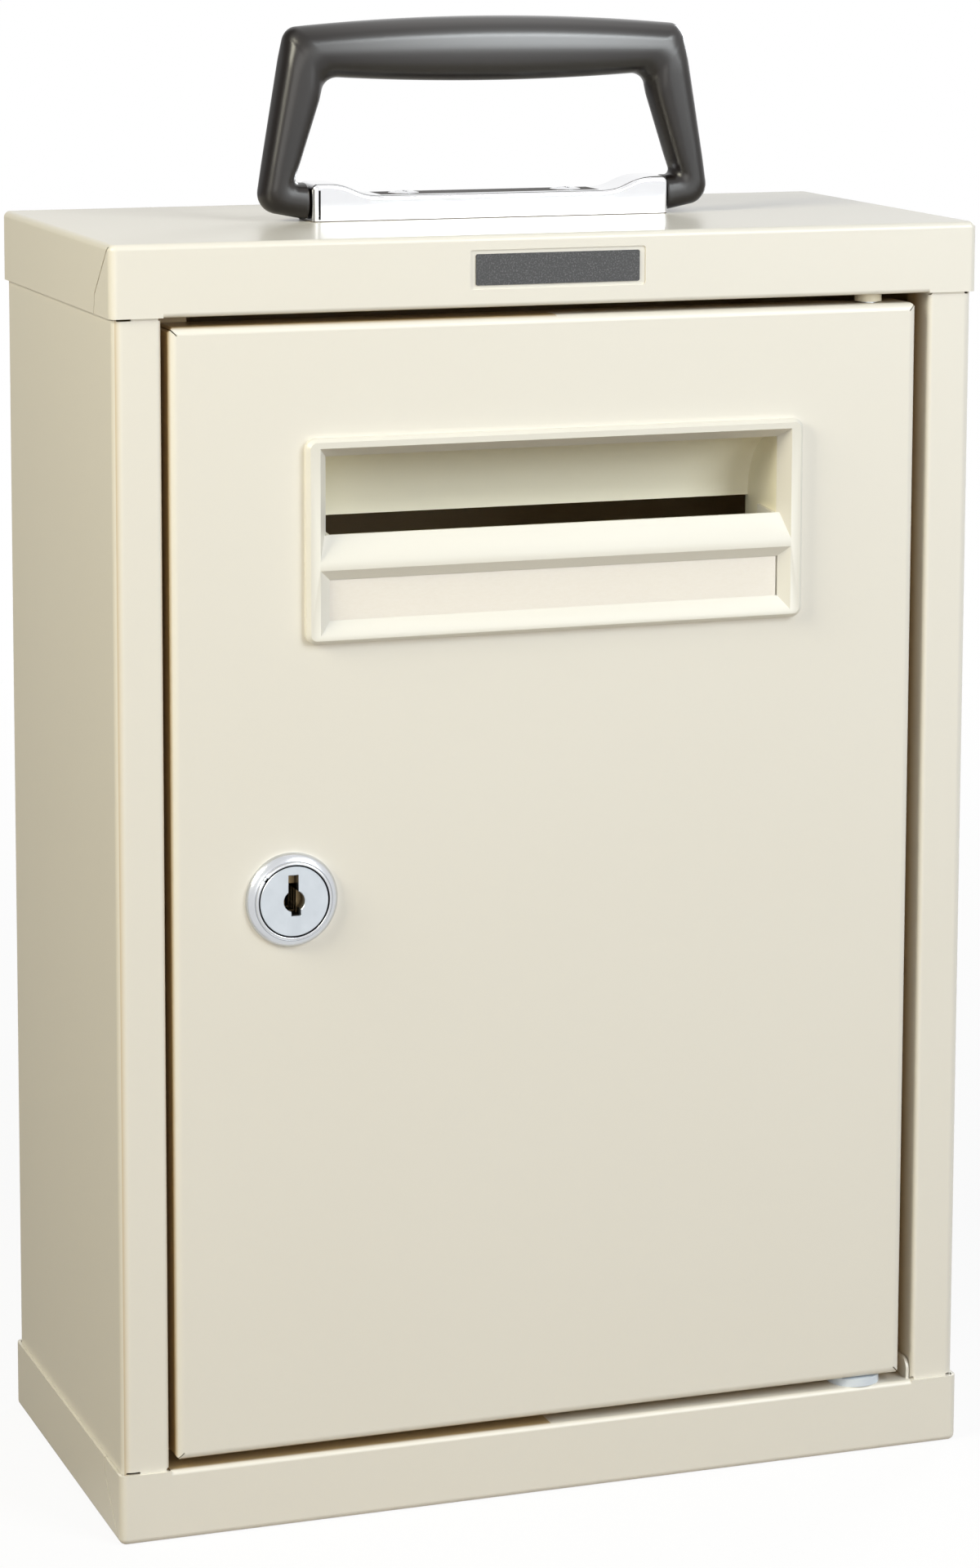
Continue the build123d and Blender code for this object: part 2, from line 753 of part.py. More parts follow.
def handle_saddle():
    half = saddle_depth / 2
    outer = front_prism(saddle_face(0), -half, half)
    front_rim = outer.faces().sort_by(Axis.Y)[0].edges()
    back_rim = outer.faces().sort_by(Axis.Y)[-1].edges()
    rims = [edge for edge in front_rim + back_rim if edge.center().Z > 0.1]
    outer = fillet(rims, saddle_round)
    inner = front_prism(saddle_face(saddle_wall), saddle_wall - half, half - saddle_wall)
    saddle = Pos(0, 0, box_height) * (outer - inner)
    slit_low = box_height + slit_foot
    slit_high = box_height + saddle_end_height - slit_drop
    for side in (-1, 1):
        end = side * saddle_half
        saddle -= rod_x(handle_pin_diameter, 0, pivot_z, end - 2 * saddle_wall, end + 2 * saddle_wall)
        slit_x = end - side * (slit_inset + slit_width / 2)
        wall_y = side * (half - saddle_wall / 2)
        saddle -= block(
            slit_x - slit_width / 2, slit_x + slit_width / 2,
            wall_y - saddle_wall, wall_y + saddle_wall, slit_low, slit_high)
    for x in screw_places():
        hole = handle_screw_diameter + 2 * thread_gap
        saddle -= rod_z(hole, x, 0, box_height, box_height + saddle_mid_height + 1)
    return saddle


def handle_screws():
    grip = sheet + handle_washer_thickness + handle_nut_thickness
    length = saddle_mid_height + grip + handle_screw_tail
    screw = pan_screw(handle_screw_diameter, handle_screw_head, handle_screw_head_height, length)
    top = box_height + saddle_mid_height
    return Compound(children=[Pos(x, 0, top) * screw for x in screw_places()])


def handle_washers():
    low = cap_under_z - handle_washer_thickness
    bore = handle_screw_diameter + 2 * thread_gap
    rings = []
    for x in screw_places():
        ring = rod_z(handle_washer_diameter, x, 0, low, cap_under_z)
        rings.append(ring - rod_z(bore, x, 0, low - 1, cap_under_z + 1))
    return Compound(children=rings)


def handle_nuts():
    top = cap_under_z - handle_washer_thickness
    low = top - handle_nut_thickness
    bore = handle_screw_diameter + 2 * thread_gap
    nuts = []
    for x in screw_places():
        nut = Pos(x, 0, low) * extrude(hexagon(handle_nut_flats), amount=handle_nut_thickness)
        nuts.append(nut - rod_z(bore, x, 0, low - 1, top + 1))
    return Compound(children=nuts)


def handle_pins():
    """Headed pins from inside the saddle's ends out into the bail's feet."""
    pins = []
    for side in (-1, 1):
        wall = side * (saddle_half - saddle_wall)
        head = wall - side * handle_pin_head_height
        tip = side * (leg_inner_foot + handle_pin_reach)
        shank = rod_x(handle_pin_diameter, 0, pivot_z, min(wall, tip), max(wall, tip))
        pins.append(shank + rod_x(handle_pin_head, 0, pivot_z, min(wall, head), max(wall, head)))
    return Compound(children=pins)


def bail_face():
    """Front view of the bail over its pivots: a tapering arch with a crowned top and a full grip."""
    shoulder_z = crown_z - crown_rise
    grip_z = shoulder_z - grip_thickness + grip_belly
    outer = Polyline(
        (-bail_top_half, shoulder_z),
        (-leg_outer_foot, pivot_z),
        (-leg_inner_foot, pivot_z),
        (-leg_inner_foot, knee_z),
        (-leg_inner_top, grip_z),
    )
    belly = ThreePointArc((-leg_inner_top, grip_z), (0, grip_z - grip_belly), (leg_inner_top, grip_z))
    crown = ThreePointArc((-bail_top_half, shoulder_z), (0, crown_z), (bail_top_half, shoulder_z))
    face = make_face(outer + mirror(outer, about=Plane.YZ) + belly + crown)
    tops = [v for v in face.vertices() if abs(abs(v.X) - bail_top_half) < 0.01]
    face = fillet(tops, shoulder_round)
    inners = [v for v in face.vertices() if abs(abs(v.X) - leg_inner_top) < 0.01]
    return fillet(inners, inner_round)


def bail_foot(section):
    """The right foot: the leg's own section swept half a turn about the pivot, with its inward turn."""
    half = foot_depth / 2
    middle = leg_inner_foot + leg_foot_width / 2
    front = section & Pos(middle, -half, pivot_z) * Rectangle(2 * leg_foot_width, foot_depth)
    foot = revolve(front, axis=Axis((0, 0, pivot_z), (1, 0, 0)), revolution_arc=180)
    rise = saddle_end_height - pivot_rise
    upright = Pos(0, rise / 2) * Rectangle(foot_depth, rise)
    upright = fillet(upright.vertices().group_by(Axis.Y)[-1], toe_round)
    toe = side_prism(Pos(0, pivot_z) * (Circle(half) + upright), saddle_half + toe_gap, middle)
    return foot + chamfer(toe.faces().sort_by(Axis.X)[0].edges(), toe_edge)


def handle_bail():
    half = grip_depth / 2
    foot = foot_depth / 2
    taper = make_face(Polyline(
        (-foot, pivot_z), (-half, crown_z), (half, crown_z), (foot, pivot_z), close=True))
    bail = front_prism(bail_face(), -half, half) & side_prism(taper, -leg_outer_foot, leg_outer_foot)
    sides = bail.faces().sort_by(Axis.Y)
    rims = [edge for edge in sides[0].edges() + sides[-1].edges() if edge.center().Z > pivot_z + 0.1]
    bail = fillet(rims, grip_round)
    lowest = bail.faces().group_by(Axis.Z)[0]
    right_foot = bail_foot(lowest.sort_by(Axis.X)[-1])
    bail += right_foot + mirror(right_foot, about=Plane.YZ)
    bore = handle_pin_diameter + 2 * pin_clearance
    for side in (-1, 1):
        tip = side * (leg_inner_foot + handle_pin_reach + handle_pin_end_gap)
        bail -= rod_x(bore, 0, pivot_z, min(side, tip), max(side, tip))
    return bail


pieces = {
    "body_shell": body_shell,
    "top_cap": top_cap,
    "bottom_cap": bottom_cap,
    "name_plate": name_plate,
    "hinge_pin_bottom": hinge_pin_bottom,
    "hinge_pin_top": hinge_pin_top,
    "hinge_washer": hinge_washer,
    "hinge_bush": hinge_bush,
    "door_panel": door_panel,
    "slot_bezel": slot_bezel,
    "slot_hood": slot_hood,
    "bezel_clips": bezel_clips,
    "name_card": name_card,
    "lock_body": lock_body,
    "lock_washer": lock_washer,
    "lock_nut": lock_nut,
    "lock_plug": lock_plug,
    "lock_wafers": lock_wafers,
    "lock_cam": lock_cam,
    "cam_washer": cam_washer,
    "cam_screw": cam_screw,
    "handle_saddle": handle_saddle,
    "handle_screws": handle_screws,
    "handle_washers": handle_washers,
    "handle_nuts": handle_nuts,
    "handle_pins": handle_pins,
    "handle_bail": handle_bail,
}

for name, make in pieces.items():
    export_step(make(), f"parts/{name}.step")
    print(name)
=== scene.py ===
import json
import math

import bmesh
import bpy
import numpy as np
from mathutils import Matrix, Vector


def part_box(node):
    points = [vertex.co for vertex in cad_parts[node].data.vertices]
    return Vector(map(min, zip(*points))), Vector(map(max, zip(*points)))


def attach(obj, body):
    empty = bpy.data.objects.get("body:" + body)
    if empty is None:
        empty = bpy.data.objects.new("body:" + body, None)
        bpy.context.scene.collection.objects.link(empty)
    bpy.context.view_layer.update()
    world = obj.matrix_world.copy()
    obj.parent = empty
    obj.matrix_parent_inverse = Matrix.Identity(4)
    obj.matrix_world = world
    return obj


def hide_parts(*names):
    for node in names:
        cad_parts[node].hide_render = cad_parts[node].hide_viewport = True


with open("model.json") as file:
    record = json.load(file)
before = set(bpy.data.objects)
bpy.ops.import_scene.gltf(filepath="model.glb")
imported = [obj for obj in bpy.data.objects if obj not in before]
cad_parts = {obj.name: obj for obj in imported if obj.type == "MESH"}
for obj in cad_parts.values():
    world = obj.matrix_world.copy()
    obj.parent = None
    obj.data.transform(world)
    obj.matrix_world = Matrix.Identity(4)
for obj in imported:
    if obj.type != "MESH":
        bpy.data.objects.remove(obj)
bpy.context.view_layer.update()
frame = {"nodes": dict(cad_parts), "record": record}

mm = 0.001
micron = 0.000001


scene = bpy.context.scene
nodes = frame["nodes"]
print("frame loaded:", len(nodes), "nodes")


# Camera: the photograph's own viewing angle, with a little of its vertical shift
cameraView = {
    "position": (-0.3847, -1.0821, 0.4192),
    "azimuth": -19.65,      # degrees round from straight in front
    "elevation": 7.93,
    "roll": 0.168,
    "focalPixels": 5420.0,  # in a frame 1920 pixels high
    "frameHeight": 1920.0,
    "sensor": 36.0,
    "shift": -0.2,
    "clip": (0.05, 20.0),
}


def makeCamera(view):
    azimuth = math.radians(view["azimuth"])
    elevation = math.radians(view["elevation"])
    flat = math.cos(elevation)
    back = Vector((math.sin(azimuth) * flat, -math.cos(azimuth) * flat, math.sin(elevation)))
    right = Vector((0, 0, 1)).cross(back).normalized()
    up = back.cross(right)
    turn = Matrix((right, up, back)).transposed().to_4x4()
    data = bpy.data.cameras.new("camera")
    data.sensor_fit = "AUTO"
    data.sensor_width = view["sensor"]
    data.lens = view["focalPixels"] / view["frameHeight"] * view["sensor"]
    data.shift_y = view["shift"]
    data.clip_start, data.clip_end = view["clip"]
    camera = bpy.data.objects.new("camera", data)
    scene.collection.objects.link(camera)
    roll = Matrix.Rotation(math.radians(view["roll"]), 4, "Z")
    camera.matrix_world = Matrix.Translation(view["position"]) @ turn @ roll
    scene.camera = camera


makeCamera(cameraView)
print("camera placed")


# Shader signals: one output socket each, with arithmetic that adds its own nodes
class Signal:
    def __init__(self, finish, socket):
        self.finish = finish
        self.socket = socket

    def maths(self, operation, *values):
        return self.finish.add("ShaderNodeMath", {"operation": operation}, dict(enumerate(values)))

    def __add__(self, other):
        return self.maths("ADD", self, other)

    def __radd__(self, other):
        return self.maths("ADD", other, self)

    def __sub__(self, other):
        return self.maths("SUBTRACT", self, other)

    def __rsub__(self, other):
        return self.maths("SUBTRACT", other, self)

    def __mul__(self, other):
        return self.maths("MULTIPLY", self, other)

    def __rmul__(self, other):
        return self.maths("MULTIPLY", other, self)

    def __pow__(self, other):
        return self.maths("POWER", self, other)

    def __truediv__(self, other):
        return self.maths("DIVIDE", self, other)

    def __abs__(self):
        return self.maths("ABSOLUTE", self)

    def clamped(self):
        return self.maths("MINIMUM", self.maths("MAXIMUM", self, 0.0), 1.0)

    def stretched(self, x, y, z):
        settings = {"operation": "MULTIPLY"}
        return self.finish.add("ShaderNodeVectorMath", settings, {0: self, 1: (x, y, z)})


# The node tree of a material or of the world, and the few kinds of node that finishes are built from
class Finish:
    def __init__(self, name, world=None):
        self.material = world or bpy.data.materials.new(name)
        self.material.use_nodes = True
        self.tree = self.material.node_tree
        self.tree.nodes.clear()
        kind = "ShaderNodeOutputWorld" if world else "ShaderNodeOutputMaterial"
        self.surface = self.tree.nodes.new(kind).inputs["Surface"]

    def put(self, target, value):
        if isinstance(value, Signal):
            self.tree.links.new(value.socket, target)
        elif isinstance(value, (tuple, list)) and target.type == "RGBA":
            target.default_value = (*value[:3], 1.0)
        else:
            target.default_value = value

    def add(self, kind, settings=None, sockets=None, out=0):
        node = self.tree.nodes.new(kind)
        for key, value in (settings or {}).items():
            if key == "stops":
                self.setStops(node.color_ramp, value)
            else:
                setattr(node, key, value)
        for key, value in (sockets or {}).items():
            self.put(node.inputs[key], value)
        return Signal(self, node.outputs[out])

    def setStops(self, ramp, stops):
        while len(ramp.elements) < len(stops):
            ramp.elements.new(1.0)
        for element, (place, grey) in zip(ramp.elements, stops):
            element.position = place
            element.color = (grey, grey, grey, 1.0)

    def place(self):
        return self.add("ShaderNodeTexCoord", out="Object")

    # The three parts of a place
    def split(self, where):
        return [self.add("ShaderNodeSeparateXYZ", {}, {"Vector": where}, out=axis) for axis in "XYZ"]

    # One wherever any of the named rays is asking
    def lightPath(self, *rays):
        total = 0.0
        for ray in rays:
            total = total + self.add("ShaderNodeLightPath", out=ray)
        return total.clamped()

    def noise(self, where, scale, detail=2.0, roughness=0.5):
        sockets = {"Vector": where, "Scale": scale, "Detail": detail, "Roughness": roughness}
        return self.add("ShaderNodeTexNoise", {}, sockets, out=0)

    def ramp(self, signal, *stops):
        return self.add("ShaderNodeValToRGB", {"stops": stops}, {"Fac": signal})

    def blend(self, amount, first, second):
        sockets = {0: amount, 6: first, 7: second}
        return self.add("ShaderNodeMix", {"data_type": "RGBA"}, sockets, out=2)

    def bump(self, height, strength, distance):
        sockets = {"Height": height, "Strength": strength, "Distance": distance}
        return self.add("ShaderNodeBump", {}, sockets)

    def shade(self, **sockets):
        named = {key.replace("_", " "): value for key, value in sockets.items()}
        self.put(self.surface, self.add("ShaderNodeBsdfPrincipled", {}, named))
        return self.material


# The linear colour of three display values from 0 to 255, by the display's own curve
def linear(red, green, blue):
    share = np.array((red, green, blue)) / 255.0
    curve = np.where(share <= 0.04045, share / 12.92, ((share + 0.055) / 1.055) ** 2.4)
    return tuple(float(value) for value in curve)


edgeSharpness = 10000.0     # of a mask: it changes within a tenth of a millimetre
farOff = 1.0                # metres, beyond every piece


# One where a value lies between two others
def between(value, low, high):
    return ((value - low) * edgeSharpness).clamped() * ((high - value) * edgeSharpness).clamped()


# Rises evenly from nothing at the first value to one at the second
def ramped(value, first, full):
    return ((value - first) / (full - first)).clamped()


# A base value, and how much a signal adds to it
def varied(signal, base, more):
    return base + signal * more


# Finishes. A noise is given by its scale, detail and roughness, a roughness by its base and what a noise
# adds to it, and a bump by its strength and its height in metres
paint = {
    "colour": linear(233, 229, 220),
    "shade": linear(229, 224, 213),
    "cloud": (14.0, 3.0),
    "cloudShare": 0.5,
    "inside": linear(186, 160, 116),    # painted shade: darker and browner within the box
    "insideFrom": (0.001, 0.009),       # behind the front, over which it sets in
    "latchFrom": (0.0, 0.0012),         # painted shade also at the latch side, where the gap is narrow
    "skin": 0.0006,                     # outer part of the sheet, which keeps its colour
    "grain": (2600.0, 1.0),
    "roughness": (0.33, 0.08),
    "coat": 0.2,
    "coatRoughness": 0.12,
    "peel": (900.0, 2.0),
    "bump": (0.25, 0.00001),
}


# Painted shade mask: one on the inner side of the folded sheets, coming in gently behind the front, and at
# once beside the latch
def insideShadeMask(finish, where):
    low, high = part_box("body_shell")
    across, deep, level = finish.split(where)
    front, skin = low[1], paint["skin"]
    inner = between(across, low[0] + skin, high[0] - skin)
    inner = inner * between(level, low[2] + skin, high[2] - skin)
    first, full = paint["insideFrom"]
    gentle = ramped(deep, front + first, front + full)
    first, full = paint["latchFrom"]
    quick = ramped(deep, front + first, front + full) * between(across, low[0], 0.0)
    return inner * gentle.maths("MAXIMUM", gentle, quick) * between(deep, front, high[1] - skin)


def creamPaint():
    finish = Finish("creamPaint")
    where = finish.place()
    cloud = finish.noise(where, *paint["cloud"])
    peel = finish.noise(where, *paint["peel"])
    grain = finish.noise(where, *paint["grain"])
    colour = finish.blend(cloud * paint["cloudShare"], paint["colour"], paint["shade"])
    # The colour turns to the painted shade within the box and at the latch side
    return finish.shade(
        Base_Color=finish.blend(insideShadeMask(finish, where), colour, paint["inside"]),
        Roughness=varied(grain, *paint["roughness"]),
        Coat_Weight=paint["coat"],
        Coat_Roughness=paint["coatRoughness"],
        Normal=finish.bump(peel, *paint["bump"]),
    )


ivory = {
    "colour": linear(229, 226, 218),
    "shade": linear(224, 220, 209),
    # painted light: the slot hood's copy of the ivory, lighter and warmer, standing in for the light that
    # falls into the slot
    "hoodLitColour": linear(253, 248, 226),
    "hoodLitShade": linear(250, 244, 220),
    "flow": (60.0, 2.0),
    "flowStretch": (0.3, 1.0, 1.0),
    "flowShare": 0.6,
    "grain": (1800.0, 2.0),
    "roughness": (0.32, 0.1),
    "ior": 1.46,
    "bump": (0.12, 0.00002),
}


def ivoryPlastic(name, colour, shade):
    finish = Finish(name)
    where = finish.place()
    flow = finish.noise(where.stretched(*ivory["flowStretch"]), *ivory["flow"])
    grain = finish.noise(where, *ivory["grain"])
    return finish.shade(
        Base_Color=finish.blend(flow * ivory["flowShare"], colour, shade),
        Roughness=varied(grain, *ivory["roughness"]),
        IOR=ivory["ior"],
        Normal=finish.bump(grain, *ivory["bump"]),
    )


card = {
    "colour": linear(245, 240, 233),
    "fleck": linear(237, 230, 220),
    "fibre": (900.0, 4.0, 0.7),
    "fibreStretch": (1.0, 1.0, 3.0),
    "roughness": (0.75, 0.1),
    "bump": (0.2, 0.00003),
}


def paperCard():
    finish = Finish("paperCard")
    fibre = finish.noise(finish.place().stretched(*card["fibreStretch"]), *card["fibre"])
    return finish.shade(
        Base_Color=finish.blend(fibre, card["colour"], card["fleck"]),
        Roughness=varied(fibre, *card["roughness"]),
        Normal=finish.bump(fibre, *card["bump"]),
    )


plate = {
    "colour": linear(52, 52, 54),
    "fleck": linear(104, 104, 106),
    "speck": (2400.0, 3.0, 0.7),
    "flecksFrom": (0.5, 0.0),       # stops of the ramp that picks the flecks out
    "flecksFull": (0.68, 1.0),
    "roughness": (0.42, 0.15),
    "bump": (0.25, 0.00003),
}


def darkPlate():
    finish = Finish("darkPlate")
    speck = finish.noise(finish.place(), *plate["speck"])
    spots = finish.ramp(speck, plate["flecksFrom"], plate["flecksFull"])
    return finish.shade(
        Base_Color=finish.blend(spots, plate["colour"], plate["fleck"]),
        Roughness=varied(speck, *plate["roughness"]),
        Normal=finish.bump(speck, *plate["bump"]),
    )


chrome = {
    "colour": (0.86, 0.87, 0.89),
    "shade": (0.80, 0.81, 0.83),
    "haze": (120.0, 3.0),
    "wave": (45.0, 1.0),
    "roughness": (0.05, 0.06),
    "bump": (0.1, 0.0001),
}


def brightPlating():
    finish = Finish("brightPlating")
    where = finish.place()
    haze = finish.noise(where, *chrome["haze"])
    wave = finish.noise(where, *chrome["wave"])
    return finish.shade(
        Base_Color=finish.blend(haze, chrome["colour"], chrome["shade"]),
        Metallic=1.0,
        Roughness=varied(haze, *chrome["roughness"]),
        Normal=finish.bump(wave, *chrome["bump"]),
    )


# The saddle's chrome, with a painted reflection on its level top and painted shade at its foot and in its
# slits, in millimetres
saddle = {
    "colour": (0.89, 0.895, 0.91),
    "shade": (0.85, 0.855, 0.87),
    "haze": (120.0, 3.0),
    "roughness": (0.06, 0.05),
    "dullRoughness": 0.6,   # more where it is dark
    "bump": (0.05, 0.0001),
    "flatHalf": 30.0,       # the level middle of its top, with a painted reflection of the dark underneath of the grip
    "flatDepth": 5.2,
    "flatFrom": 6.3,        # over its foot
    "flatReflectionTone": (0.035, 0.03, 0.028),
    "foot": 0.3,            # shadow line along its foot
    "footTone": (0.10, 0.075, 0.05),
    # painted shade in the slits at its ends and the hollow behind them
    "slitInset": (0.2, 3.6),
    "slitSide": 0.2,
    "slitDrop": 1.2,        # under its top
    "slitShadeTone": (0.012, 0.010, 0.010),
}


def saddlePlating():
    finish = Finish("saddlePlating")
    where = finish.place()
    haze = finish.noise(where, *saddle["haze"])
    low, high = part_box("handle_saddle")
    across, deep, level = finish.split(where)
    across, deep = abs(across), abs(deep)
    flat = between(across, -farOff, saddle["flatHalf"] * mm)
    flat = flat * between(deep, -farOff, saddle["flatDepth"] * mm)
    flat = flat * between(level, low[2] + saddle["flatFrom"] * mm, farOff)
    foot = between(level, -farOff, low[2] + saddle["foot"] * mm)
    near, far = saddle["slitInset"]
    slit = between(across, high[0] - far * mm, high[0] - near * mm)
    slit = slit * between(deep, -farOff, high[1] - saddle["slitSide"] * mm)
    slit = slit * between(level, -farOff, high[2] - saddle["slitDrop"] * mm)
    colour = finish.blend(haze, saddle["colour"], saddle["shade"])
    # painted reflection on the level top, then the painted shadow line along the foot
    colour = finish.blend(flat, colour, saddle["flatReflectionTone"])
    colour = finish.blend(foot, colour, saddle["footTone"])
    dull = (flat + foot + slit).clamped()
    return finish.shade(
        # painted shade in the slits
        Base_Color=finish.blend(slit, colour, saddle["slitShadeTone"]),
        Metallic=1.0 - dull,
        Roughness=varied(haze, *saddle["roughness"]) + dull * saddle["dullRoughness"],
        Normal=finish.bump(haze, *saddle["bump"]),
    )


# Dark places of the lock, in millimetres: between two radii, from a start behind the face and over a fade
lockShadow = {
    "face": -57.5,          # the ring's rim and the plug's face
    "gap": {"radii": (8.5, 9.25), "start": 0.12, "fade": 0.15},     # round the plug
    "well": {"radii": (-1.0, 8.0), "start": 0.7, "fade": 1.6},      # in the keyway
    "tone": (0.012, 0.009, 0.007),
}


def lockCentre():
    low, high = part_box("lock_body")
    return (low[0] + high[0]) / 2 / mm, (low[2] + high[2]) / 2 / mm


# The distance from the lock's axis picks the ring, and the depth behind its face the darkness
def behindFace(finish, where, shadow):
    across, deep, level = finish.split(where)
    x, z = lockCentre()
    away = ((across - x * mm) ** 2.0 + (level - z * mm) ** 2.0) ** 0.5
    start = lockShadow["face"] + shadow["start"]
    ring = between(away, shadow["radii"][0] * mm, shadow["radii"][1] * mm)
    return ring * ramped(deep, start * mm, (start + shadow["fade"]) * mm)


ringChrome = {
    "colour": (0.66, 0.675, 0.70),
    "shade": (0.59, 0.605, 0.63),
    "haze": (160.0, 3.0),
    "roughness": (0.2, 0.06),
    "darkRoughness": 0.4,
    "bump": (0.08, 0.0001),
}


def lockPlating():
    finish = Finish("lockPlating")
    where = finish.place()
    haze = finish.noise(where, *ringChrome["haze"])
    dark = behindFace(finish, where, lockShadow["gap"])
    bright = finish.blend(haze, ringChrome["colour"], ringChrome["shade"])
    return finish.shade(
        Base_Color=finish.blend(dark, bright, lockShadow["tone"]),
        Metallic=1.0,
        Roughness=varied(haze, *ringChrome["roughness"]) + dark * ringChrome["darkRoughness"],
        Normal=finish.bump(haze, *ringChrome["bump"]),
    )


brushed = {
    "colour": (0.50, 0.535, 0.57),
    "shade": (0.60, 0.635, 0.67),
    "cloud": (300.0, 2.0),
    "lines": (700.0, 3.0),
    "lineStretch": (1.0, 1.0, 30.0),
    "roughness": (0.32, 0.12),
    "bump": (0.15, 0.00002),
}


def brushedFace():
    finish = Finish("brushedFace")
    where = finish.place()
    lines = finish.noise(where.stretched(*brushed["lineStretch"]), *brushed["lines"])
    cloud = finish.noise(where, *brushed["cloud"])
    dark = behindFace(finish, where, lockShadow["gap"]) + behindFace(finish, where, lockShadow["well"])
    bright = finish.blend(cloud, brushed["colour"], brushed["shade"])
    return finish.shade(
        Base_Color=finish.blend(dark.clamped(), bright, lockShadow["tone"]),
        Metallic=1.0,
        Roughness=varied(lines, *brushed["roughness"]),
        Normal=finish.bump(lines, *brushed["bump"]),
    )


zinc = {
    "colour": (0.52, 0.54, 0.56),
    "shade": (0.66, 0.67, 0.68),
    "cloud": (260.0, 3.0),
    "metallic": 1.0,
    "roughness": (0.30, 0.15),
    "bump": (0.1, 0.00003),
}
brass = {
    "colour": (0.34, 0.25, 0.13),
    "shade": (0.16, 0.11, 0.06),
    "cloud": (500.0, 3.0),
    "metallic": 1.0,
    "roughness": (0.28, 0.2),
    "bump": (0.1, 0.00002),
}
whiteNylon = {
    "colour": linear(226, 234, 244),
    "shade": linear(214, 224, 236),
    "cloud": (200.0, 2.0),
    "metallic": 0.0,
    "roughness": (0.35, 0.12),
    "bump": (0.1, 0.00003),
}
creamNylon = {**whiteNylon, "colour": linear(226, 217, 194), "shade": linear(214, 204, 180)}


# One noise moves the colour, the roughness and the surface of the plainer finishes together
def cloudedFinish(name, look):
    finish = Finish(name)
    cloud = finish.noise(finish.place(), *look["cloud"])
    return finish.shade(
        Base_Color=finish.blend(cloud, look["colour"], look["shade"]),
        Metallic=look["metallic"],
        Roughness=varied(cloud, *look["roughness"]),
        Normal=finish.bump(cloud, *look["bump"]),
    )


blackGrip = {
    "colour": linear(17, 12, 10),
    "shade": linear(23, 17, 14),
    "flow": (40.0, 2.0),
    "grain": (1500.0, 2.0),
    "roughness": (0.29, 0.06),
    "ior": 1.52,
    "coatRoughness": 0.24,
    "polishFrom": 0.362,    # metres up, above which hands polish the grip
    "polishClimb": 170.0,   # per metre
    "polishMiddle": 0.006,
    "polishHalf": 0.056,
    "bump": (0.08, 0.00002),
}


# Polish climbs with height, and falls off with the square of the way from the grip's middle
def blackPlastic():
    finish = Finish("blackPlastic")
    where = finish.place()
    across, _, level = finish.split(where)
    fromMiddle = (across - blackGrip["polishMiddle"]) / blackGrip["polishHalf"]
    polish = ((level - blackGrip["polishFrom"]) * blackGrip["polishClimb"]).clamped()
    polish = polish * (1.0 - fromMiddle * fromMiddle).clamped()
    flow = finish.noise(where, *blackGrip["flow"])
    grain = finish.noise(where, *blackGrip["grain"])
    return finish.shade(
        Base_Color=finish.blend(flow, blackGrip["colour"], blackGrip["shade"]),
        Roughness=varied(grain, *blackGrip["roughness"]),
        Coat_Weight=polish,
        Coat_Roughness=blackGrip["coatRoughness"],
        IOR=blackGrip["ior"],
        Normal=finish.bump(grain, *blackGrip["bump"]),
    )


finishes = {
    "cream_steel": creamPaint(),
    "ivory_plastic": ivoryPlastic("ivoryPlastic", ivory["colour"], ivory["shade"]),
    "paper_card": paperCard(),
    "dark_plate": darkPlate(),
    "chrome": brightPlating(),
    "brushed_nickel": brushedFace(),
    "plain_steel": cloudedFinish("zincPlating", zinc),
    "brass": cloudedFinish("brassPlates", brass),
    "white_nylon": cloudedFinish("whiteNylon", whiteNylon),
    "cream_nylon": cloudedFinish("creamNylon", creamNylon),
    "black_plastic": blackPlastic(),
}
ownFinishes = {
    "lock_body": lockPlating(),
    "handle_saddle": saddlePlating(),
    # the hood takes the lighter copy of the ivory, a painted light
    "slot_hood": ivoryPlastic("hoodLitPlastic", ivory["hoodLitColour"], ivory["hoodLitShade"]),
}
print("finishes made:", len(finishes) + len(ownFinishes))

slots = {part["node"]: part["material_slot"] for part in frame["record"]["subparts"]}
bodies = {name: body for body, names in frame["record"]["behaviour"]["bodies"].items() for name in names}
for name, slot in slots.items():
    mesh = nodes[name].data
    mesh.materials.clear()
    mesh.materials.append(finishes[slot])


# Pieces: each stands for one CAD node, rides on its body and keeps its finish
def takePlace(mesh, node):
    piece = bpy.data.objects.new(node + "Skin", mesh)
    scene.collection.objects.link(piece)
    mesh.materials.append(ownFinishes.get(node, finishes[slots[node]]))
    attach(piece, bodies[node])
    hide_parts(node)
    return piece


# Faces round gentle turns share their normals, and large flat faces keep theirs
def softenShading(piece, crease):
    piece.data.shade_smooth()
    piece.data.set_sharp_from_angle(angle=math.radians(crease))
    even = piece.modifiers.new("evenNormals", "WEIGHTED_NORMAL")
    even.mode = "FACE_AREA"
    even.keep_sharp = True


# Grids of points, each (rows, columns, 3) in millimetres, joined into one closed skin
def skinFromGrids(node, grids, crease):
    points, faces, start = [], [], 0
    for grid in grids:
        rows, columns = grid.shape[:2]
        index = start + np.arange(rows * columns).reshape(rows, columns)
        around = [index[:-1, :-1], index[1:, :-1], index[1:, 1:], index[:-1, 1:]]
        faces.append(np.stack(around, axis=-1).reshape(-1, 4))
        points.append(grid.reshape(-1, 3) * mm)
        start += rows * columns
    mesh = bpy.data.meshes.new(node + "Skin")
    mesh.from_pydata(np.concatenate(points), [], np.concatenate(faces).tolist())
    work = bmesh.new()
    work.from_mesh(mesh)
    bmesh.ops.remove_doubles(work, verts=work.verts, dist=2 * micron)
    bmesh.ops.recalc_face_normals(work, faces=work.faces)
    work.to_mesh(mesh)
    work.free()
    softenShading(takePlace(mesh, node), crease)


smoothCrease = 32.0     # degrees


